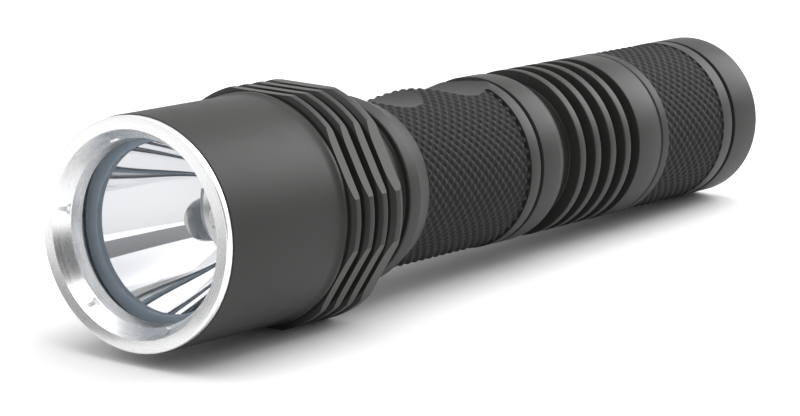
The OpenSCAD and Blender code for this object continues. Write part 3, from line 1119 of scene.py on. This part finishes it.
class FLASHLIGHT_OT_finishes(bpy.types.Operator):
    """Gives the pieces that keep their plain shape a fitting finish"""

    bl_idname = "flashlight.finishes"
    bl_label = "Inner finishes"

    def execute(self, context):
        nickel = bare_metal("nickel_plate", (0.72, 0.69, 0.64, 1), 0.24)
        gold = bare_metal("gold_plate", (0.86, 0.62, 0.28, 1), 0.22)
        white = moulded("white_nylon", (0.72, 0.72, 0.68, 1))
        dark = moulded("dark_resin", (0.03, 0.03, 0.032, 1))
        mask = solder_mask("green_board", (0.01, 0.09, 0.04, 1), (0.75, 0.42, 0.2, 1))
        finishes = {
            "led_centring_ring": moulded("grey_resin", (0.22, 0.24, 0.27, 1)),
            "led_board": bare_metal("board_metal", (0.8, 0.8, 0.8, 1), 0.35),
            "board_screws": nickel, "positive_lead": moulded("red_lead", (0.5, 0.03, 0.02, 1)),
            "negative_lead": moulded("black_lead", (0.03, 0.03, 0.03, 1)), "pill": gold,
            "driver_board": mask, "driver_chips": dark, "driver_inductor": dark,
            "cell_can": nickel, "cell_wrap": moulded("shrink_wrap", colour("wrap"), 0.25),
            "cell_positive_cap": nickel, "cell_insulator": white,
            "switch_retaining_ring": nickel, "switch_board": mask, "switch_body": dark,
            "switch_spacer": white, "switch_plunger": white,
        }
        for node, material in finishes.items():
            mesh = frame["nodes"][node].data
            mesh.materials.clear()
            mesh.materials.append(material)
        return {"FINISHED"}


class FLASHLIGHT_OT_stage(bpy.types.Operator):
    """Sets the floor, the white surround, the lights and the camera"""

    bl_idname = "flashlight.stage"
    bl_label = "Stage"

    def execute(self, context):
        scene = context.scene
        studio = scene.flashlight_studio
        scene.view_settings.view_transform = "Standard"
        self.floor(studio)
        self.surround(scene, studio)
        self.lights(studio)
        self.camera(scene, studio)
        return {"FINISHED"}

    def floor(self, studio):
        """A wide floor through the rear fin's lower flat and the rim of the tail."""
        fin_x, fin_z = FACE - 37.9 * MM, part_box("head_body")[0].z
        tail_x, tail_z = CAD_BOX[0].x + 0.5 * MM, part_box("tail_cap")[0].z
        slope = (fin_z - tail_z) / (fin_x - tail_x)
        clearance = 0.05 * MM
        size = 4.0
        corners = [(-size, -size), (size, -size), (size, size), (-size, size)]
        places = [(x, y, tail_z + (x - tail_x) * slope - clearance) for x, y in corners]
        f = Finish("floor_board", Metallic=0.0)
        cloud = f.cloud(40.0, 3.0)
        pale = tuple(studio.floor) + (1.0,)
        white = f.mix(cloud, shade(pale, 0.985), shade(pale, 1.01))
        mirrored = f.add("ShaderNodeLightPath")["Is Glossy Ray"]
        # Limits in metres of a dark patch ahead of the bezel. Only glossy rays meet it:
        # the reflector and the bezel mirror it, and the camera sees pale floor there.
        near, far, start, lean = 0.013, 0.062, 0.008, 0.25
        ahead, beside = f.x - FACE, f.y * -1
        flag = (beside + ahead * lean - near).over(0.0) * (far - beside).over(0.0)
        flag = flag * ahead.over(start)
        f.feed("Base Color", f.mix(mirrored * flag, white, shade(pale, 0.16)))
        f.feed("Roughness", (cloud - 0.5) * 0.1 + 0.6)
        mesh = bpy.data.meshes.new("floor")
        mesh.from_pydata(places, [], [(0, 1, 2, 3)])
        mesh.materials.append(f.material)
        floor = bpy.data.objects.new("floor", mesh)
        bpy.context.scene.collection.objects.link(floor)

    def surround(self, scene, studio):
        """A white room with a dark opening, which the camera sees as white too."""
        world = bpy.data.worlds.new("white_surround")
        scene.world = world
        world.use_nodes = True
        room = Graph(world.node_tree)
        room.tree.nodes.clear()
        ahead = room.add("ShaderNodeTexCoord")["Generated"]
        opening = Vector((0.25, 0.90, 0.36)).normalized()
        # Cosine at the opening's rim, the rim's hardness, how dark the opening is, and the
        # brightness at the horizon
        rim, hardness, loss, horizon = 0.84, 12, 0.85, 0.85
        kind = {"operation": "DOT_PRODUCT"}
        towards = room.add("ShaderNodeVectorMath", kind, {0: ahead, 1: opening})["Value"]
        dark = ((towards - rim) * hardness).clamped()
        height = room.split(ahead)[2]
        bright = horizon + height.most(0.0) * (1 - horizon)
        shown = room.add("ShaderNodeLightPath")["Is Camera Ray"]
        level = shown.most(bright * (1 - dark * loss)) * studio.sky
        back = room.add("ShaderNodeBackground", None, {"Color": (1, 1, 1, 1), "Strength": level})
        room.add("ShaderNodeOutputWorld", None, {"Surface": back[0]})

    def lights(self, studio):
        def softbox(name, place, aim, width, height, power):
            data = bpy.data.lights.new(name, "AREA")
            data.shape = "RECTANGLE"
            data.size, data.size_y, data.energy = width, height, power
            lamp = bpy.data.objects.new(name, data)
            bpy.context.scene.collection.objects.link(lamp)
            lamp.location = place
            lamp.rotation_mode = "QUATERNION"
            lamp.rotation_quaternion = (Vector(aim) - Vector(place)).to_track_quat("-Z", "Y")

        middle = (0, 0, 0)
        softbox("overhead", (0.0, 0.1, 0.8), middle, 0.9, 0.9, studio.key)
        softbox("behind_tail", (-0.64, 0.23, 0.42), middle, 0.55, 0.50, studio.back)

    def camera(self, scene, studio):
        data = bpy.data.cameras.new("camera")
        data.lens, data.sensor_width = studio.focal, 36.0
        data.clip_start, data.clip_end = 0.01, 20.0
        camera = bpy.data.objects.new("camera", data)
        scene.collection.objects.link(camera)
        place = (0.4140, 0.2838, 0.0912)
        ahead = Vector((-0.8026, -0.5652, -0.1910)).normalized()
        up = Vector((-0.1345, -0.1406, 0.9809))
        right = ahead.cross(up).normalized()
        up = right.cross(ahead)
        turn = Matrix((right, up, -ahead)).transposed()
        camera.matrix_world = Matrix.Translation(place) @ turn.to_4x4()
        scene.camera = camera


class FLASHLIGHT_PT_panel(bpy.types.Panel):
    """Lists the settings and the pieces in the sidebar"""

    bl_label = "Flashlight"
    bl_idname = "FLASHLIGHT_PT_panel"
    bl_space_type = "VIEW_3D"
    bl_region_type = "UI"
    bl_category = "Flashlight"

    def draw(self, context):
        scene = context.scene
        for group in (scene.flashlight_sizes, scene.flashlight_colours, scene.flashlight_studio):
            box = self.layout.box()
            for name in group.bl_rna.properties.keys():
                if name not in ("rna_type", "name"):
                    box.prop(group, name)
        for operator in PIECES:
            self.layout.operator(operator.bl_idname)


PIECES = (
    FLASHLIGHT_OT_stage,
    FLASHLIGHT_OT_bezel,
    FLASHLIGHT_OT_optics,
    FLASHLIGHT_OT_head,
    FLASHLIGHT_OT_tube,
    FLASHLIGHT_OT_tail_cap,
    FLASHLIGHT_OT_seals,
    FLASHLIGHT_OT_emitter,
    FLASHLIGHT_OT_springs,
    FLASHLIGHT_OT_button,
    FLASHLIGHT_OT_finishes,
)
GROUPS = {
    "flashlight_sizes": FlashlightSizes,
    "flashlight_colours": FlashlightColours,
    "flashlight_studio": FlashlightStudio,
}


def register():
    for cls in (*GROUPS.values(), *PIECES, FLASHLIGHT_PT_panel):
        bpy.utils.register_class(cls)
    for name, cls in GROUPS.items():
        setattr(bpy.types.Scene, name, PointerProperty(type=cls))


def unregister():
    for name in GROUPS:
        delattr(bpy.types.Scene, name)
    for cls in (FLASHLIGHT_PT_panel, *reversed(PIECES), *GROUPS.values()):
        bpy.utils.unregister_class(cls)


def main():
    register()
    for operator in PIECES:
        group, name = operator.bl_idname.split(".")
        getattr(getattr(bpy.ops, group), name)()


if __name__ == "__main__":
    main()
